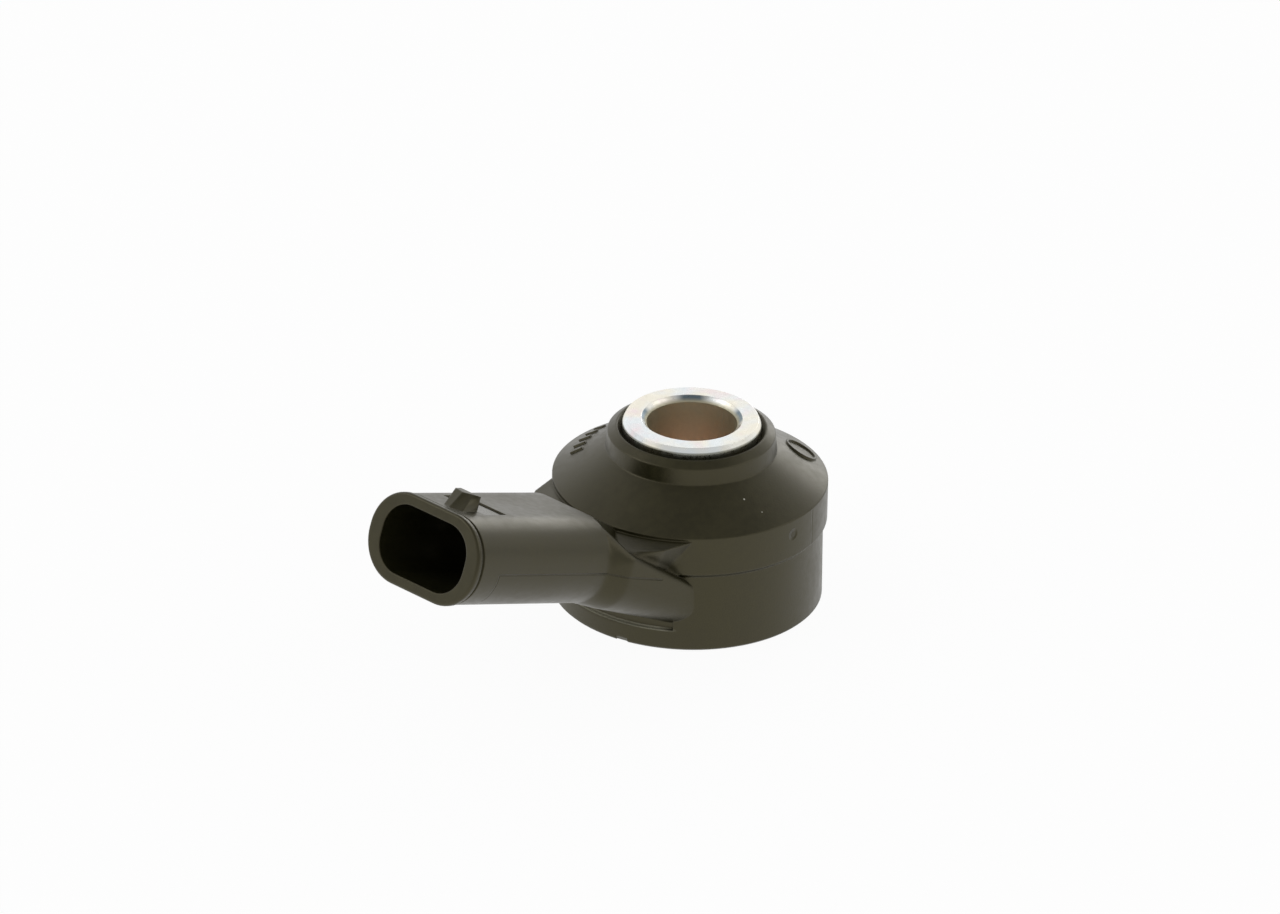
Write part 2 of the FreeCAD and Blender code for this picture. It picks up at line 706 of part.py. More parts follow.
def socket(body):
    """Cut the socket into the mouth."""
    section = across_arm(body, "0", "socket_section")
    oval_section(section, SOCKET_HALF_WIDTH, SOCKET_HALF_HEIGHT, SOCKET_CORNER)
    return pocket(body, section, "socket_depth", "socket_pocket", reverse=True)


def on_cone(body, angle, name):
    """Start a sketch that lies on the cone: its x climbs the slope."""
    sketch = new_sketch(body, "XY_Plane", name)
    spin = number(angle)
    slope = number("cone_angle")
    turn = FreeCAD.Rotation(spin, slope, 0)
    sketch.AttachmentOffset = FreeCAD.Placement(FreeCAD.Vector(), turn)
    bind(sketch, "AttachmentOffset.Rotation.Yaw", angle)
    bind(sketch, "AttachmentOffset.Rotation.Pitch", "cone_angle")
    height = f"{SHOULDER_HEIGHT} + ({SHOULDER_RADIUS} - {MARK_REACH}) * tan(cone_angle)"
    bind(sketch, "AttachmentOffset.Base.x", f"{MARK_REACH} * cos({angle})")
    bind(sketch, "AttachmentOffset.Base.y", f"{MARK_REACH} * sin({angle})")
    bind(sketch, "AttachmentOffset.Base.z", height)
    return sketch


def cone_mark_tool(name, angle, draw):
    """Make a low raised mark, rooted a little way into the cone."""
    body = new_body(name)
    sketch = on_cone(body, angle, f"{name}_outline")
    draw(sketch)
    feature = body.newObject("PartDesign::Pad", f"{name}_pad")
    feature.Profile = sketch
    feature.SideType = "Two sides"
    bind(feature, "Length", "mark_height")
    bind(feature, "Length2", "mark_root")
    checked(feature)
    return body


def ring_outline(sketch):
    circle(sketch, "ring_radius")
    circle(sketch, "ring_radius - ring_width")


def bar_outline(sketch):
    long, wide = "bar_length / 2", "bar_width / 2"
    outline(sketch, [(f"-{long}", f"-{wide}"), (long, f"-{wide}"), (long, wide), (f"-{long}", wide)])


def nick_tool():
    """Make the wedge that chips the drum's lower edge."""
    box = doc.addObject("Part::Box", "nick")
    bind(box, "Length", "2 * nick_depth")
    bind(box, "Width", "nick_width")
    bind(box, "Height", "3 * nick_depth")
    spin = "(180 + nick_angle)"
    turn = FreeCAD.Rotation(number(spin), number("nick_tilt"), 0)
    box.Placement = FreeCAD.Placement(FreeCAD.Vector(), turn)
    bind(box, "Placement.Rotation.Yaw", "nick_angle - 180")
    bind(box, "Placement.Rotation.Pitch", "nick_tilt")
    reach = f"({DRUM_RADIUS} + skirt_flare - nick_depth * (1 + sin(nick_tilt)))"
    bind(box, "Placement.Base.x", f"{reach} * cos{spin} + nick_width / 2 * sin{spin}")
    bind(box, "Placement.Base.y", f"{reach} * sin{spin} - nick_width / 2 * cos{spin}")
    bind(box, "Placement.Base.z", "sleeve_proud - nick_depth * cos(nick_tilt)")
    return box


def spring_room():
    """The ring of space round the dished spring, which the moulding does not fill."""
    height = "spring_thickness + spring_dish"
    return washer("spring_room", STACK_BORE, SPRING_RADIUS, SPRING_BASE, height)


def housing(inner_pieces):
    """Mould the housing over the inner pieces."""
    body = new_body("moulding")
    drum(body)
    under_arm_recess(body)
    rim = arm(body)
    dress(body, "Fillet", rim, mouth_edges(rim), "rim_round", "mouth_round")
    latch(body)
    socket(body)
    marks = [cone_mark_tool("clock_ring", "ring_angle", ring_outline)]
    for place in range(int(number("bar_count"))):
        angle = f"bars_angle + {place} * bar_pitch"
        marks.append(cone_mark_tool(f"bar_{place + 1}", f"({angle})", bar_outline))
    raised = doc.addObject("Part::MultiFuse", "marked_moulding")
    raised.Shapes = [body] + marks
    nick = nick_tool()
    cutter = doc.addObject("Part::MultiFuse", "moulded_over")
    cutter.Shapes = inner_pieces + [spring_room(), nick]
    moulded = doc.addObject("Part::Cut", "housing")
    moulded.Base = raised
    moulded.Tool = cutter
    doc.recompute()
    if body.Shape.common(nick.Shape).Volume < TINY:
        raise RuntimeError("nick cuts nothing")
    return moulded


inner = [
    pressure_sleeve(),
    washer("insulating_tube", SLEEVE_RADIUS, STACK_BORE, WASHER_BASE, f"{NUT_BASE} - {WASHER_BASE}"),
    washer("lower_insulating_washer", STACK_BORE, WASHER_RADIUS, WASHER_BASE, "washer_thickness"),
    contact_disc("lower_contact_disc", LOWER_CONTACT_BASE, -1),
    washer("piezo_ring", STACK_BORE, PIEZO_RADIUS, PIEZO_BASE, "piezo_thickness"),
    contact_disc("upper_contact_disc", UPPER_CONTACT_BASE, 1),
    washer("upper_insulating_washer", STACK_BORE, WASHER_RADIUS, UPPER_WASHER_BASE, "washer_thickness"),
    seismic_mass(),
    disc_spring(),
    washer("threaded_ring", SLEEVE_RADIUS, NUT_RADIUS, NUT_BASE, "nut_height"),
    terminal_blade("terminal_blade_right", -1),
    terminal_blade("terminal_blade_left", 1),
    bleed_resistor(),
]
sub_parts = inner + [housing(inner)]
doc.recompute()

for item in doc.Objects:
    if "Invalid" in item.State or "Error" in item.State:
        raise RuntimeError(f"{item.Label} is {item.State}")
for item in sub_parts:
    if item.Shape.isNull() or not item.Shape.isValid():
        raise RuntimeError(f"{item.Label} has no sound shape")
    if len(item.Shape.Solids) != 1:
        raise RuntimeError(f"{item.Label} has {len(item.Shape.Solids)} solids")

os.makedirs("parts", exist_ok=True)
for item in sub_parts:
    item.Shape.exportStep(f"parts/{item.Label}.step")
    print(f"{item.Label}: {item.Shape.Volume:.1f} cubic millimetres")
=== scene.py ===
# %% [markdown]
# An engine knock sensor stands on white paper. The bolt goes through the steel sleeve, the black
# moulding wraps the sensing stack, and the plug goes into the slanted arm. The solids come from the
# CAD model, so this lesson is about a camera that matches a photograph, soft studio light, and one
# honest finish for each material.

import math

import bpy
from mathutils import Matrix, Vector

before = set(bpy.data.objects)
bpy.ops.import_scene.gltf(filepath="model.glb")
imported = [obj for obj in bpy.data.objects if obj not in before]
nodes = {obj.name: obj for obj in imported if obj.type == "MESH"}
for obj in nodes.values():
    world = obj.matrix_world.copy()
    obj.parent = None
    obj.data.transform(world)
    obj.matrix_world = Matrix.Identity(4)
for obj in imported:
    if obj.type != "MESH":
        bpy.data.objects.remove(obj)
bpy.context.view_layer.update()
MM = 0.001
print("pieces in the frame:", ", ".join(sorted(nodes)))

# %% [markdown]
# The camera stands where the photographer's did. Its place was worked out from the rims of the drum,
# the collar and the bore, which are circles on the real sensor and ellipses in the picture. A long
# lens from far away is what makes those ellipses so even, so the focal length matters as much as
# the angle.

# %% Place the camera
PICTURE_WIDTH_PX = 1280
FOCAL_LENGTH_PX = 8925.7
SENSOR_WIDTH = 36.0
AZIMUTH = math.radians(-47.46)
ELEVATION = math.radians(27.232)
ROLL = math.radians(1.685)
DISTANCE = 831 * MM
ASIDE = 4.34 * MM
ABOVE = -11.96 * MM
MOULDING_BASE = 0.2 * MM

level_right = Vector((math.cos(AZIMUTH), math.sin(AZIMUTH), 0))
forward = Vector((-math.sin(AZIMUTH) * math.cos(ELEVATION),
                  math.cos(AZIMUTH) * math.cos(ELEVATION),
                  -math.sin(ELEVATION)))
level_up = level_right.cross(forward)
right = level_right * math.cos(ROLL) + level_up * math.sin(ROLL)
up = level_up * math.cos(ROLL) - level_right * math.sin(ROLL)
place = Vector((0, 0, MOULDING_BASE)) - ASIDE * right - ABOVE * up - DISTANCE * forward

camera_data = bpy.data.cameras.new("camera")
camera_data.sensor_width = SENSOR_WIDTH
camera_data.lens = SENSOR_WIDTH * FOCAL_LENGTH_PX / PICTURE_WIDTH_PX
camera = bpy.data.objects.new("camera", camera_data)
turn = Matrix((right, up, -forward)).transposed().to_4x4()
camera.matrix_world = Matrix.Translation(place) @ turn
bpy.context.scene.collection.objects.link(camera)
bpy.context.scene.camera = camera
bpy.context.scene.view_settings.view_transform = "Standard"
print(f"lens {camera_data.lens:.0f} mm, {DISTANCE:.3f} m away")

# %% [markdown]
# A colour picker gives sRGB values, but Blender mixes light in linear values, so every colour goes
# through one small function. A second one adds a node, gives it its settings and joins its inputs:
# a value that is another node's output is linked, and any other value is set. The rest are the few
# patterns that the finishes share.

# %% Colour and node helpers
SHORT_STEP = 0.1           # over which a mask rises or falls, in millimetres
WALL_NORMAL = 0.6          # a face whose normal rises less than this counts as a wall
LEVEL_NORMAL = 0.8         # and one whose normal rises more than this counts as level


def linear(colour):
    """Turn an sRGB hex colour into linear red, green, blue and alpha."""
    channels = [int(colour[start:start + 2], 16) / 255 for start in (1, 3, 5)]
    mixed = [value / 12.92 if value <= 0.04045 else ((value + 0.055) / 1.055) ** 2.4
             for value in channels]
    return (*mixed, 1.0)


def add_node(tree, kind, settings=None, inputs=None):
    """Add a node with its settings and its inputs, which are values or other nodes' outputs."""
    made = tree.nodes.new(kind)
    for name, value in (settings or {}).items():
        setattr(made, name, value)
    for name, value in (inputs or {}).items():
        socket = made.inputs[name]
        if isinstance(value, bpy.types.NodeSocket):
            tree.links.new(value, socket)
        else:
            socket.default_value = value
    return made


def new_material(name):
    """Start a material, and give it, its tree and its shader."""
    material = bpy.data.materials.new(name)
    material.use_nodes = True
    tree = material.node_tree
    return material, tree, tree.nodes["Principled BSDF"]


def per_millimetre(size):
    """Give the scale of a pattern whose cells have that size in millimetres."""
    return 1 / (size * MM)


def on_object(tree):
    """Give the place on the object, in metres from its origin."""
    return add_node(tree, "ShaderNodeTexCoord").outputs["Object"]


def calculate(tree, operation, first, second=0.0):
    """Work out one number from two."""
    return add_node(tree, "ShaderNodeMath", {"operation": operation}, {0: first, 1: second}).outputs[0]


def remap(tree, value, low, high, at_low, at_high):
    """Carry a value from one range to another, and hold it at the ends."""
    return add_node(tree, "ShaderNodeMapRange", inputs={
        "Value": value, "From Min": low, "From Max": high,
        "To Min": at_low, "To Max": at_high}).outputs[0]


def mix_colours(tree, share, first, second):
    """Blend two colours, given as hex or as other nodes' outputs."""
    first, second = (linear(colour) if isinstance(colour, str) else colour
                     for colour in (first, second))
    return add_node(tree, "ShaderNodeMix", {"data_type": "RGBA"},
                    {"Factor": share, 6: first, 7: second}).outputs[2]


def noise(tree, place, size, detail=2.0):
    """Give a soft random pattern whose patches have that size in millimetres."""
    return add_node(tree, "ShaderNodeTexNoise", inputs={
        "Vector": place, "Scale": per_millimetre(size), "Detail": detail}).outputs["Fac"]


def line_at(tree, value, centre, half_width, softness):
    """Give 1 where a value in metres is near a centre, and 0 away from it. The rest is in mm."""
    away = calculate(tree, "ABSOLUTE", calculate(tree, "SUBTRACT", value, centre * MM))
    return remap(tree, away, half_width * MM, (half_width + softness) * MM, 1.0, 0.0)


def between(tree, value, start, end, softness):
    """Give 1 where a value in metres lies between a start and an end in mm, and 0 outside them."""
    return line_at(tree, value, (start + end) / 2, (end - start) / 2, softness)


def step_up(tree, value, start):
    """Rise from 0 to 1 over the tenth of a millimetre that follows a start in millimetres."""
    return remap(tree, value, start * MM, (start + SHORT_STEP) * MM, 0.0, 1.0)


def step_down(tree, value, end):
    """Fall from 1 to 0 over the tenth of a millimetre that comes before an end in millimetres."""
    return remap(tree, value, (end - SHORT_STEP) * MM, end * MM, 1.0, 0.0)


def level_faces(tree):
    """Give 1 on faces that lie level, and 0 on upright walls and steep slopes."""
    normal = add_node(tree, "ShaderNodeTexCoord").outputs["Normal"]
    upwards = add_node(tree, "ShaderNodeSeparateXYZ", inputs={0: normal}).outputs["Z"]
    return remap(tree, calculate(tree, "ABSOLUTE", upwards), WALL_NORMAL, LEVEL_NORMAL, 0.0, 1.0)


def turning_rings(tree, place, feed):
    """Give the fine grooves that a lathe tool leaves, as rings on level faces and bands on walls."""
    waves_per_unit = 2 * math.pi / 20       # this texture repeats every 2 pi / 20 of its scaled unit
    waves = {"Vector": place, "Scale": waves_per_unit / (feed * MM), "Distortion": 0.4, "Detail": 1.0}
    face = add_node(tree, "ShaderNodeTexWave", {"wave_type": "RINGS", "rings_direction": "Z"}, waves)
    wall = add_node(tree, "ShaderNodeTexWave", {"wave_type": "BANDS", "bands_direction": "Z"}, waves)
    level = level_faces(tree)
    upright = calculate(tree, "SUBTRACT", 1.0, level)
    on_walls = calculate(tree, "MULTIPLY", wall.outputs["Fac"], upright)
    return calculate(tree, "ADD", calculate(tree, "MULTIPLY", face.outputs["Fac"], level), on_walls)


def finish(tree, shader, colour=None, roughness=None, height=None, depth=0.01, edge=None):
    """Join a colour, a roughness and a bump of that depth in millimetres to the shader. The edge is
    the radius of worn corners, in millimetres or as a node's output in metres."""
    if colour is not None:
        tree.links.new(colour, shader.inputs["Base Color"])
    if roughness is not None:
        tree.links.new(roughness, shader.inputs["Roughness"])
    if height is not None:
        bump = add_node(tree, "ShaderNodeBump", inputs={"Height": height, "Distance": depth * MM})
        if edge is not None:
            radius = edge * MM if isinstance(edge, float) else edge
            rounded = add_node(tree, "ShaderNodeBevel", {"samples": 8}, {"Radius": radius})
            tree.links.new(rounded.outputs[0], bump.inputs["Normal"])
        tree.links.new(bump.outputs[0], shader.inputs["Normal"])


print("black is", linear("#000000")[:3], "and white is", linear("#ffffff")[:3])

# %% [markdown]
# The sensor was photographed on white paper with white walls round it, little light from right
# above, and a dimmer room behind the camera. A satin black surface shows that plainly: what mirrors
# a wall is grey, and what mirrors the ceiling or the room is darker. Three softboxes draw
# the brighter stripes: one at the left, one at the right, and a low one behind the sensor at the
# right. The floor is plain paper. Rays that look at it see it almost plain white, and the rest of
# its look is lit paper, so it keeps the soft shadow.

# %% White paper floor
PAPER_WHITE = "#fbfbfa"
PAPER_GLOW = 0.95
bpy.ops.mesh.primitive_plane_add(size=6.0)
floor = bpy.context.object
floor.name = "floor"


def seen_directly(tree):
    """Give 1 for rays that look at the background, straight, in a mirror or through glass."""
    ray = add_node(tree, "ShaderNodeLightPath").outputs
    seen = calculate(tree, "MAXIMUM", ray["Is Camera Ray"], ray["Is Glossy Ray"])
    return calculate(tree, "MAXIMUM", seen, ray["Is Transmission Ray"])


paper, tree, shader = new_material("white_paper")
shader.inputs["Base Color"].default_value = linear(PAPER_WHITE)
shader.inputs["Roughness"].default_value = 0.9
shader.inputs["Specular IOR Level"].default_value = 0.0
fibres = noise(tree, on_object(tree), 0.5)
finish(tree, shader, height=fibres, depth=0.004)
glow = add_node(tree, "ShaderNodeEmission", inputs={"Strength": 1.0})
share = calculate(tree, "MULTIPLY", seen_directly(tree), PAPER_GLOW)
lit = add_node(tree, "ShaderNodeMixShader", inputs={0: share, 1: shader.outputs[0], 2: glow.outputs[0]})
tree.links.new(lit.outputs[0], tree.nodes["Material Output"].inputs["Surface"])
floor.data.materials.append(paper)
print("floor is", floor.dimensions[0], "m wide")

# %% White walls and a dim ceiling
WALL_LEVEL = 1.0
CEILING_LEVEL = 0.5
WALL_TOP = 0.5             # sine of the height, seen from the sensor, where the white walls end
CEILING_START = 0.88
BACK_WALL = (0.737, 0.676, 0.0)    # the way that the camera looks
FRONT_SHARE = 0.65                 # the room behind the camera is dimmer than the back wall
FRONT_END = 0.2                    # cosines of the angle to the back wall, between which it dims
BACK_START = 0.8
world = bpy.data.worlds.new("white_walls")
bpy.context.scene.world = world
world.use_nodes = True
tree = world.node_tree
direction = add_node(tree, "ShaderNodeTexCoord").outputs["Generated"]
height = add_node(tree, "ShaderNodeSeparateXYZ", inputs={0: direction}).outputs["Z"]
away = add_node(tree, "ShaderNodeVectorMath", {"operation": "DOT_PRODUCT"},
                {0: direction, 1: BACK_WALL}).outputs["Value"]
dimmed = remap(tree, away, FRONT_END, BACK_START, FRONT_SHARE, 1.0)
upwards = remap(tree, height, WALL_TOP, CEILING_START, WALL_LEVEL, CEILING_LEVEL)
level = calculate(tree, "MULTIPLY", upwards, dimmed)
background = tree.nodes["Background"]
background.inputs["Color"].default_value = linear("#ffffff")
tree.links.new(level, background.inputs["Strength"])


def softbox(name, azimuth, elevation, distance, width, brightness):
    """Hang a square lamp that faces the sensor. Azimuth 0 is at -Y, and it grows towards +X."""
    lamp = bpy.data.lights.new(name, "AREA")
    lamp.shape = "SQUARE"
    lamp.size = width
    lamp.energy = brightness * math.pi * width ** 2
    hung = bpy.data.objects.new(name, lamp)
    around, above = math.radians(azimuth), math.radians(elevation)
    towards = Vector((math.sin(around) * math.cos(above),
                      -math.cos(around) * math.cos(above),
                      math.sin(above)))
    hung.location = towards * distance
    hung.rotation_euler = (-towards).to_track_quat("-Z", "Y").to_euler()
    bpy.context.scene.collection.objects.link(hung)
    print(f"{name}: {lamp.energy:.2f} W")


softbox("left_softbox", azimuth=-130, elevation=38, distance=0.8, width=0.5, brightness=1.3)
softbox("right_softbox", azimuth=40, elevation=35, distance=0.8, width=0.5, brightness=0.8)
softbox("back_softbox", azimuth=110, elevation=14, distance=0.8, width=0.36, brightness=1.6)

# %% [markdown]
# The housing is black polyamide 66 with glass fibre, injection moulded. The steel mould was spark
# eroded, which leaves an even satin, and glass fibre near the surface adds a faint mottle. The black
# is a warm one, nearly olive where it mirrors nothing. A plain dark grey with one gloss would look
# like paint, so the gloss wanders and the grain is a bump. Dust, a dent and the mould's own parting
# lines lie where the photograph shows them, and a pale line along the ledge under the arm is a
# painted highlight, where that edge catches the light.

# %% Places on the housing
ARM_TILT = math.radians(19.73)
MOUTH_X = -35.4
MOUTH_Z = 16.97
SEAM_OFFSET = -0.15        # the arm's parting line runs this far below its axis
SEAM_START = 3.4
SEAM_END = 24.4
OUTSIDE_HALF_WIDTH = 5.3   # what lies nearer the arm's axis than these is inside the socket
OUTSIDE_HALF_HEIGHT = 3.5
DRUM_SEAM_ANGLE = math.radians(-75.3)
DRUM_SEAM_SHARE = 0.6      # it is fainter than the arm's
DRUM_WALL = 12.0
LEDGE_HEIGHT = 2.12
LEDGE_START = -10.6        # the painted highlight on the ledge under the arm fades out between these X
LEDGE_END = -9.8
PAINTED_HIGHLIGHT_HALF_WIDTH = 0.05
PAINTED_HIGHLIGHT_FADE = 0.12
BAND_BASE = 8.15
BAND_TOP = 11.7
ROOT_MIDDLE = 21.0         # the arm's root, measured inwards from the mouth, has soft corners
ROOT_HALF_LENGTH = 5.0
ROOT_FADE = 1.5
ROOT_SIDE = 2.0            # heights above the arm's axis between which the corners grow small
ROOT_TOP = 2.4
WINDOW_MIDDLE = 5.57       # the shallow window behind the latch, measured inwards from the mouth
WINDOW_HALF_LENGTH = 1.35
WINDOW_HALF_WIDTH = 2.6
WINDOW_FLOOR = 3.8         # what lies higher than this above the arm's axis is its floor
DENT_PLACE = (0.22, -12.82, 10.35)
DENT_RADIUS = 0.6
DUST_PLACES = ((-2.73, -9.24, 13.72), (-2.1, -10.92, 12.8))
DUST_RADII = (0.11, 0.07)


def along(tree, place, axis, start=0.0):
    """Measure in metres how far a place lies along an axis, from a start in millimetres."""
    product = add_node(tree, "ShaderNodeVectorMath", {"operation": "DOT_PRODUCT"}, {0: place, 1: axis})
    return calculate(tree, "SUBTRACT", product.outputs["Value"], start * MM)


def spot(tree, place, centre, radius):
    """Give 1 up to half a radius from a centre, both in millimetres, and fade to 0 at the radius."""
    middle = [value * MM for value in centre]
    away = add_node(tree, "ShaderNodeVectorMath", {"operation": "DISTANCE"}, {0: place, 1: middle})
    return remap(tree, away.outputs["Value"], radius * MM * 0.5, radius * MM, 1.0, 0.0)


def arm_measures(tree, place):
    """Measure in metres how far inwards from the mouth and how far above the arm's axis it is."""
    inwards = Vector((math.cos(ARM_TILT), 0, -math.sin(ARM_TILT)))
    upwards = Vector((math.sin(ARM_TILT), 0, math.cos(ARM_TILT)))
    mouth = Vector((MOUTH_X, 0, MOUTH_Z))
    from_mouth = along(tree, place, inwards, inwards.dot(mouth))
    above_axis = along(tree, place, upwards, upwards.dot(mouth))
    return from_mouth, above_axis


def latch_window(tree, place):
    """Give 1 on the floor of the shallow window behind the latch, which the mould left smooth."""
    from_mouth, above_axis = arm_measures(tree, place)
    sideways = along(tree, place, (0, 1, 0))
    lengthwise = line_at(tree, from_mouth, WINDOW_MIDDLE, WINDOW_HALF_LENGTH, 0.05)
    crosswise = line_at(tree, sideways, 0.0, WINDOW_HALF_WIDTH, 0.05)
    on_top = step_up(tree, above_axis, WINDOW_FLOOR)
    return calculate(tree, "MULTIPLY", calculate(tree, "MULTIPLY", lengthwise, crosswise), on_top)


def corner_radius(tree, place):
    """Give the radius of the moulding's corners in metres: small, but larger at the arm's root."""
    from_mouth, above_axis = arm_measures(tree, place)
    lengthwise = line_at(tree, from_mouth, ROOT_MIDDLE, ROOT_HALF_LENGTH, ROOT_FADE)
    below_cone = remap(tree, above_axis, ROOT_SIDE * MM, ROOT_TOP * MM, 1.0, 0.0)
    root = calculate(tree, "MULTIPLY", lengthwise, below_cone)
    return remap(tree, root, 0.0, 1.0, CORNER_RADIUS * MM, ROOT_CORNER_RADIUS * MM)


def painted_ledge_highlight(tree, place):
    """Give 1 on the thin pale line along the ledge under the arm, a painted highlight where its edge
    catches the light.
    """
    parts = add_node(tree, "ShaderNodeSeparateXYZ", inputs={0: place}).outputs
    on_ledge = line_at(tree, parts["Z"], LEDGE_HEIGHT, PAINTED_HIGHLIGHT_HALF_WIDTH, PAINTED_HIGHLIGHT_FADE)
    under_arm = remap(tree, parts["X"], LEDGE_END * MM, LEDGE_START * MM, 0.0, 1.0)
    return calculate(tree, "MULTIPLY", on_ledge, under_arm)


def arm_parting_lines(tree, place):
    """Give 1 on the parting line along the arm, and on the one that rings its lower half."""
    from_mouth, above_axis = arm_measures(tree, place)
    sideways = calculate(tree, "ABSOLUTE", along(tree, place, (0, 1, 0)))
    wide = step_up(tree, sideways, OUTSIDE_HALF_WIDTH)
    low = step_down(tree, above_axis, -OUTSIDE_HALF_HEIGHT)
    outer = calculate(tree, "MAXIMUM", wide, low)
    on_arm = between(tree, from_mouth, SEAM_START, SEAM_END, 0.1)
    side = calculate(tree, "MULTIPLY", on_arm, line_at(tree, above_axis, SEAM_OFFSET, 0.03, 0.07))
    lower_half = step_down(tree, above_axis, SEAM_OFFSET)
    around = line_at(tree, from_mouth, SEAM_START, 0.02, 0.06)
    lower_ring = calculate(tree, "MULTIPLY", lower_half, around)
    return calculate(tree, "MULTIPLY", calculate(tree, "MAXIMUM", side, lower_ring), outer)


def band_parting_line(tree, place):
    """Give the share of the faint upright parting line on the band."""
    across = Vector((-math.sin(DRUM_SEAM_ANGLE), math.cos(DRUM_SEAM_ANGLE), 0))
    outwards = Vector((math.cos(DRUM_SEAM_ANGLE), math.sin(DRUM_SEAM_ANGLE), 0))
    out_from_axis = along(tree, place, outwards)
    outside = calculate(tree, "MULTIPLY", step_up(tree, out_from_axis, DRUM_WALL), DRUM_SEAM_SHARE)
    height = add_node(tree, "ShaderNodeSeparateXYZ", inputs={0: place}).outputs["Z"]
    on_band = between(tree, height, BAND_BASE, BAND_TOP, 0.05)
    on_wall = calculate(tree, "MULTIPLY", outside, on_band)
    line = line_at(tree, along(tree, place, across), 0.0, 0.03, 0.08)
    return calculate(tree, "MULTIPLY", on_wall, line)


def parting_lines(tree, place):
    """Give 1 on the lines where the halves of the mould met."""
    return calculate(tree, "MAXIMUM", arm_parting_lines(tree, place), band_parting_line(tree, place))


print("arm tilts", round(math.degrees(ARM_TILT), 2), "degrees")

# %% Moulded polyamide
GRAIN_SIZE = 0.16          # spark erosion leaves about 0.05 mm, drawn coarser so that it shows
FLOW_SIZE = 6.0
FIBRE_SIZE = 0.7
CORNER_RADIUS = 0.2
ROOT_CORNER_RADIUS = 0.9
SHEEN_LEVEL = 0.62
LINE_SHARE = 0.65          # how far the lines and the dent darken the resin
PAINTED_HIGHLIGHT_SHARE = 0.8
DUST_SHARE = 0.9
GRAIN_DEPTH = 0.5          # these three are multiples of the bump's depth
SEAM_DEPTH = 5.0
DENT_DEPTH = 8.0
WINDOW_POLISH = 0.2        # how much less rough the latch window's floor is


def moulded_polyamide():
    """Satin black glass-filled polyamide 66, from a spark-eroded mould."""
    material, tree, shader = new_material("moulded_polyamide_66")
    place = on_object(tree)
    grain = noise(tree, place, GRAIN_SIZE)
    flow = noise(tree, place, FLOW_SIZE, detail=3.0)
    fibres = noise(tree, place, FIBRE_SIZE, detail=4.0)
    mottle = calculate(tree, "MULTIPLY", calculate(tree, "ADD", flow, fibres), 0.5)
    seams = parting_lines(tree, place)
    dent = spot(tree, place, DENT_PLACE, DENT_RADIUS)
    specks = [spot(tree, place, centre, radius) for centre, radius in zip(DUST_PLACES, DUST_RADII)]
    dust = calculate(tree, "MAXIMUM", *specks)
    resin = mix_colours(tree, remap(tree, mottle, 0.35, 0.65, 0.0, 1.0), "#17170a", "#232210")
    dark = calculate(tree, "MULTIPLY", calculate(tree, "MAXIMUM", seams, dent), LINE_SHARE)
    lined = mix_colours(tree, dark, resin, "#080804")
    # Painted highlight: a pale line along the ledge under the arm, standing in for its edge catching
    # the light.
    painted_highlight = calculate(tree, "MULTIPLY", painted_ledge_highlight(tree, place), PAINTED_HIGHLIGHT_SHARE)
    highlighted = mix_colours(tree, painted_highlight, lined, "#a5a392")
    dusted = mix_colours(tree, calculate(tree, "MULTIPLY", dust, DUST_SHARE), highlighted, "#c9c8bd")
    satin = remap(tree, mottle, 0.35, 0.65, 0.3, 0.42)
    polish = calculate(tree, "MULTIPLY", latch_window(tree, place), WINDOW_POLISH)
    gloss = calculate(tree, "SUBTRACT", satin, polish)
    sunk = calculate(tree, "ADD", calculate(tree, "MULTIPLY", seams, SEAM_DEPTH),
                     calculate(tree, "MULTIPLY", dent, DENT_DEPTH))
    height = calculate(tree, "SUBTRACT", calculate(tree, "MULTIPLY", grain, GRAIN_DEPTH), sunk)
    finish(tree, shader, dusted, gloss, height, depth=0.015, edge=corner_radius(tree, place))
    shader.inputs["Specular IOR Level"].default_value = SHEEN_LEVEL
    shader.inputs["IOR"].default_value = 1.53
    shader.inputs["Specular Tint"].default_value = linear("#fff3cc")
    return material


print("grain", GRAIN_SIZE, "mm, flow marks", FLOW_SIZE, "mm")

# %% [markdown]
# The sleeve is turned from free-cutting steel, zinc plated, with a faint yellow passivation. That is
# a film thin enough to tint: straw, pale blue and a little pink wander over the bright metal. The lathe
# leaves rings at every turn. Inside the bore the plating is thin and the steel shows warm and brown,
# and three clouded patches dull its chamfer. The sleeve's side under the top edge is painted dull
# olive: a painted reflection of the dark moulding below it.

# %% Zinc-plated turned steel
BORE_EDGE = 4.25           # radii between which the bore's look gives way to the bright plate's
PLATE_EDGE = 4.5
BORE_DULLNESS = 0.2        # how much rougher the bore is
BORE_LOW = 6.0             # heights between which the bore turns from warm to grey
BORE_HIGH = 16.0
CHAMFER_MIDDLE = 4.47
CHAMFER_HALF_WIDTH = 0.18
SLEEVE_SIDE = 6.3
CLOUD_PLACES = ((3.25, 3.05, 17.5), (-2.5, 3.75, 17.5), (3.6, -2.6, 17.5))
CLOUD_RADIUS = 1.5
PAINTED_REFLECTION_BASE = 14.0
PAINTED_REFLECTION_TOP = 17.25
PAINTED_REFLECTION_SHARE = 0.75


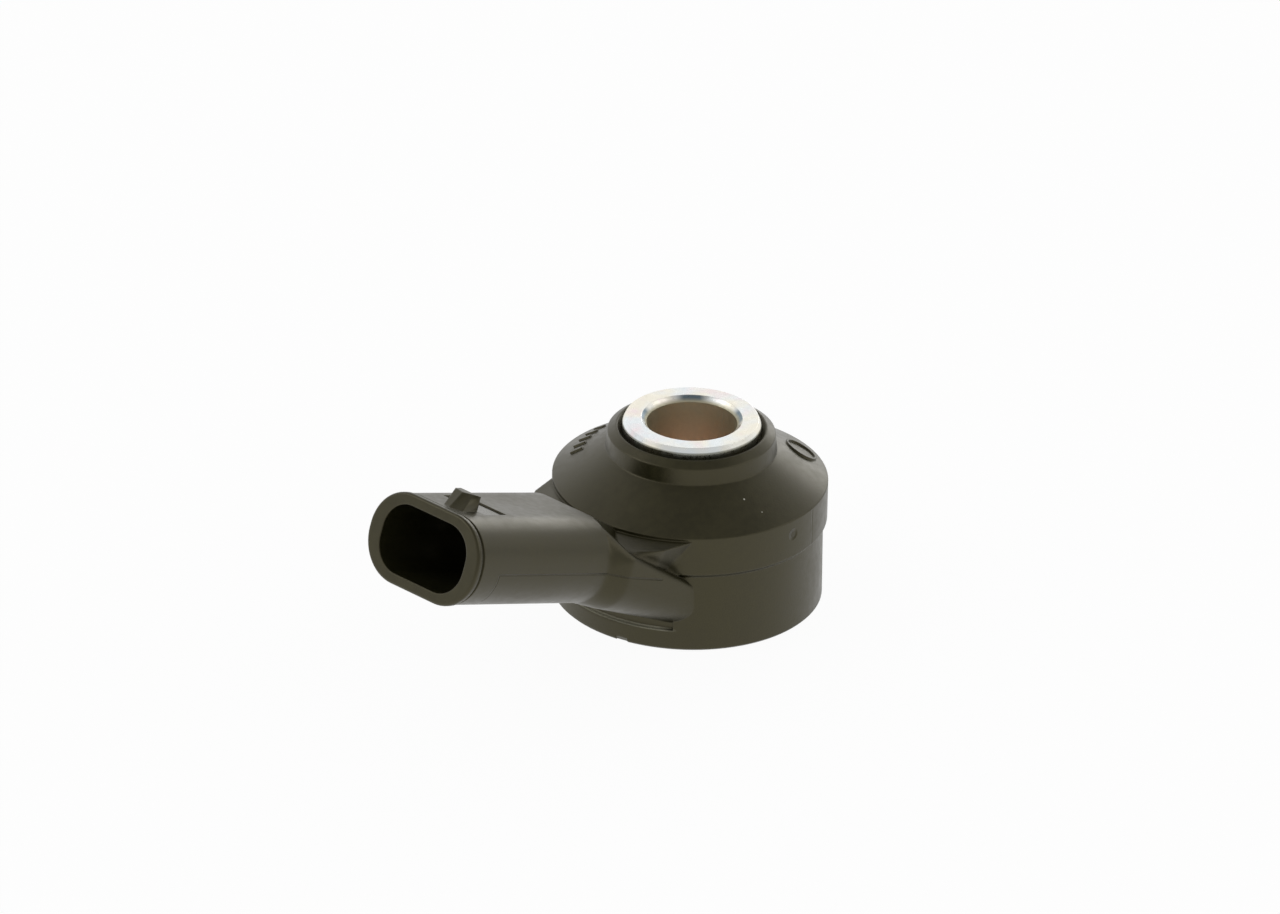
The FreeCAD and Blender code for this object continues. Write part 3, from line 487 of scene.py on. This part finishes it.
def passivated_zinc():
    """Turned steel, zinc plated, with the thin-film tints of a faint passivation."""
    material, tree, shader = new_material("passivated_zinc_plate")
    place = on_object(tree)
    parts = add_node(tree, "ShaderNodeSeparateXYZ", inputs={0: place}).outputs
    squares = [calculate(tree, "MULTIPLY", parts[axis], parts[axis]) for axis in ("X", "Y")]
    radius = calculate(tree, "SQRT", calculate(tree, "ADD", *squares))
    straw = remap(tree, noise(tree, place, 3.5), 0.4, 0.6, 0.0, 1.0)
    pink = remap(tree, noise(tree, place, 2.2), 0.52, 0.7, 0.0, 0.8)
    tints = mix_colours(tree, pink, mix_colours(tree, straw, "#eef3f5", "#f8f3e4"), "#f4e4e6")
    in_bore = remap(tree, radius, BORE_EDGE * MM, PLATE_EDGE * MM, 1.0, 0.0)
    up_bore = remap(tree, parts["Z"], BORE_LOW * MM, BORE_HIGH * MM, 0.0, 1.0)
    bore = mix_colours(tree, up_bore, "#ffe2cf", "#bab59e")
    cloud = spot(tree, place, CLOUD_PLACES[0], CLOUD_RADIUS)
    for centre in CLOUD_PLACES[1:]:
        cloud = calculate(tree, "MAXIMUM", cloud, spot(tree, place, centre, CLOUD_RADIUS))
    on_chamfer = line_at(tree, radius, CHAMFER_MIDDLE, CHAMFER_HALF_WIDTH, 0.05)
    clouded = mix_colours(tree, calculate(tree, "MULTIPLY", cloud, on_chamfer), tints, "#7c8a92")
    warm = mix_colours(tree, in_bore, clouded, bore)
    # Painted reflection: the sleeve's side under the top edge is darkened to olive, where it mirrors
    # the dark moulding below.
    below_edge = between(tree, parts["Z"], PAINTED_REFLECTION_BASE, PAINTED_REFLECTION_TOP, 0.1)
    on_side = remap(tree, radius, (SLEEVE_SIDE - 0.05) * MM, SLEEVE_SIDE * MM, 0.0, 1.0)
    painted_reflection = calculate(tree, "MULTIPLY", calculate(tree, "MULTIPLY", below_edge, on_side), PAINTED_REFLECTION_SHARE)
    with_painted_reflection = mix_colours(tree, painted_reflection, warm, "#5e5d45")
    worn = remap(tree, noise(tree, place, 0.4, detail=3.0), 0.3, 0.7, 0.24, 0.4)
    dulled = calculate(tree, "ADD", worn, calculate(tree, "MULTIPLY", in_bore, BORE_DULLNESS))
    rings = turning_rings(tree, place, feed=0.25)
    finish(tree, shader, with_painted_reflection, dulled, rings, depth=0.001, edge=0.05)
    shader.inputs["Metallic"].default_value = 1.0
    return material


# The olive band up to this height is a painted reflection of the dark moulding below.
print("olive stain up to", PAINTED_REFLECTION_TOP, "mm")

# %% [markdown]
# The stack inside is never seen on a finished sensor, but whoever opens the model looks at it. The
# insulating parts are amber polyimide, die cut from sheet, with a slight haze. The contact discs and
# the seismic mass are brass: the discs are stamped from rolled strip, whose rolling marks all run
# one way, and the mass is turned, so its marks are rings.

# %% Polyimide film
def polyimide_film():
    """Amber polyimide, die cut, with a slight haze."""
    material, tree, shader = new_material("polyimide_film")
    place = on_object(tree)
    haze = noise(tree, place, 4.0, detail=4.0)
    amber = mix_colours(tree, remap(tree, haze, 0.35, 0.65, 0.0, 1.0), "#a8661c", "#c58633")
    gloss = remap(tree, haze, 0.35, 0.65, 0.22, 0.34)
    finish(tree, shader, amber, gloss, noise(tree, place, 0.3), depth=0.003)
    return material


# %% Rolled and turned brass
ROLLING_STRETCH = (0.05, 1.0, 1.0)


def rolled_brass():
    """Brass strip, stamped, with rolling marks along X and a little tarnish."""
    material, tree, shader = new_material("rolled_brass_strip")
    place = on_object(tree)
    stretched = add_node(tree, "ShaderNodeVectorMath", {"operation": "MULTIPLY"},
                         {0: place, 1: ROLLING_STRETCH}).outputs["Vector"]
    marks = noise(tree, stretched, 0.12, detail=3.0)
    tarnish = remap(tree, noise(tree, place, 2.5, detail=4.0), 0.45, 0.75, 0.0, 0.8)
    metal = mix_colours(tree, tarnish, "#d9b25f", "#a67c3b")
    finish(tree, shader, metal, remap(tree, marks, 0.3, 0.7, 0.2, 0.42), marks, depth=0.004)
    shader.inputs["Metallic"].default_value = 1.0
    return material


def turned_brass():
    """Brass bar, turned, with the lathe's rings and bright edges."""
    material, tree, shader = new_material("turned_brass")
    place = on_object(tree)
    tarnish = remap(tree, noise(tree, place, 3.0, detail=3.0), 0.4, 0.7, 0.0, 1.0)
    metal = mix_colours(tree, tarnish, "#d4ab52", "#b8903f")
    gloss = remap(tree, noise(tree, place, 0.5), 0.3, 0.7, 0.2, 0.34)
    rings = turning_rings(tree, place, feed=0.3)
    finish(tree, shader, metal, gloss, rings, depth=0.006, edge=0.05)
    shader.inputs["Metallic"].default_value = 1.0
    return material


print("rolling marks run along X")

# %% [markdown]
# The piezo ring is sintered lead zirconate titanate, a dense cream ceramic with a fine grain. Silver
# paste is printed and fired on its two flat faces, which is where the charge is picked up, so the
# faces are matt silver and the rims bare ceramic. The spring is bare spring steel, blued by its heat
# treatment, and the nut is steel under a dark phosphate coat that holds oil.

# %% Silvered piezo ceramic
def silvered_ceramic():
    """Cream sintered ceramic with fired silver on its level faces."""
    material, tree, shader = new_material("silvered_piezo_ceramic")
    place = on_object(tree)
    on_face = level_faces(tree)
    grain = noise(tree, place, 0.2, detail=3.0)
    body = mix_colours(tree, grain, "#cfc29a", "#ded3b2")
    silver = mix_colours(tree, noise(tree, place, 1.5, detail=3.0), "#bdbcb6", "#d2d1cb")
    surface = mix_colours(tree, on_face, body, silver)
    finish(tree, shader, surface, remap(tree, grain, 0.3, 0.7, 0.42, 0.6), grain, depth=0.006)
    tree.links.new(calculate(tree, "MULTIPLY", on_face, 0.9), shader.inputs["Metallic"])
    return material


# %% Blued spring steel and phosphated steel
def blued_spring_steel():
    """Spring steel with heat-treatment blue and straw, slightly oily."""
    material, tree, shader = new_material("blued_spring_steel")
    place = on_object(tree)
    heat = remap(tree, noise(tree, place, 5.0, detail=3.0), 0.4, 0.6, 0.0, 1.0)
    metal = mix_colours(tree, heat, "#4b5a72", "#7b6a52")
    film = noise(tree, place, 0.4, detail=3.0)
    finish(tree, shader, metal, remap(tree, film, 0.3, 0.7, 0.25, 0.42), film, depth=0.003)
    shader.inputs["Metallic"].default_value = 1.0
    return material


def phosphated_steel():
    """Steel under a dark, fine-grained phosphate coat."""
    material, tree, shader = new_material("phosphated_steel")
    place = on_object(tree)
    crystals = noise(tree, place, 0.12, detail=4.0)
    coat = mix_colours(tree, crystals, "#3b3c39", "#565752")
    finish(tree, shader, coat, remap(tree, crystals, 0.3, 0.7, 0.45, 0.65), crystals, depth=0.01)
    shader.inputs["Metallic"].default_value = 0.7
    return material


print("inner steels: blued spring, phosphated ring")

# %% [markdown]
# The two terminals are brass, tin plated: the tin is soft, pale and slightly yellow, with faint drawing
# marks. The resistor bleeds off charge while the sensor lies unused. It is a ceramic rod with a
# painted body and pressed metal caps at its ends, so its colour changes along its length.

# %% Tinned terminals and the resistor
RESISTOR_CAP_START = 1.65


def tinned_brass():
    """Tin plate over brass, with faint drawing marks along the blade."""
    material, tree, shader = new_material("tinned_brass")
    place = on_object(tree)
    stretched = add_node(tree, "ShaderNodeVectorMath", {"operation": "MULTIPLY"},
                         {0: place, 1: ROLLING_STRETCH}).outputs["Vector"]
    marks = noise(tree, stretched, 0.1, detail=2.0)
    thin = remap(tree, noise(tree, place, 1.2, detail=3.0), 0.55, 0.75, 0.0, 0.6)
    metal = mix_colours(tree, thin, "#c9c6bb", "#bfa878")
    finish(tree, shader, metal, remap(tree, marks, 0.3, 0.7, 0.26, 0.4), marks, depth=0.003)
    shader.inputs["Metallic"].default_value = 1.0
    return material


def capped_resistor():
    """A painted ceramic rod between two pressed caps."""
    material, tree, shader = new_material("capped_ceramic_rod")
    place = on_object(tree)
    parts = add_node(tree, "ShaderNodeSeparateXYZ", inputs={0: place}).outputs
    from_middle = calculate(tree, "ABSOLUTE", parts["Y"])
    cap = remap(tree, from_middle, RESISTOR_CAP_START * MM, (RESISTOR_CAP_START + 0.08) * MM, 0.0, 1.0)
    paint = noise(tree, place, 0.3, detail=3.0)
    body = mix_colours(tree, paint, "#8fa6a0", "#a3b8b0")
    surface = mix_colours(tree, cap, body, "#c4c2ba")
    finish(tree, shader, surface, remap(tree, paint, 0.3, 0.7, 0.3, 0.45), paint, depth=0.008)
    tree.links.new(cap, shader.inputs["Metallic"])
    return material


print("resistor caps start", RESISTOR_CAP_START, "mm from its middle")

# %% Give each piece its finish
tin = tinned_brass()
film = polyimide_film()
strip = rolled_brass()
finishes = {
    "housing": moulded_polyamide(),
    "pressure_sleeve": passivated_zinc(),
    "insulating_tube": film,
    "lower_insulating_washer": film,
    "upper_insulating_washer": film,
    "lower_contact_disc": strip,
    "upper_contact_disc": strip,
    "piezo_ring": silvered_ceramic(),
    "seismic_mass": turned_brass(),
    "disc_spring": blued_spring_steel(),
    "threaded_ring": phosphated_steel(),
    "terminal_blade_left": tin,
    "terminal_blade_right": tin,
    "bleed_resistor": capped_resistor(),
}
for name, piece in nodes.items():
    for slot in piece.material_slots:
        slot.material = finishes[name]
    print(f"{name}: {finishes[name].name}")
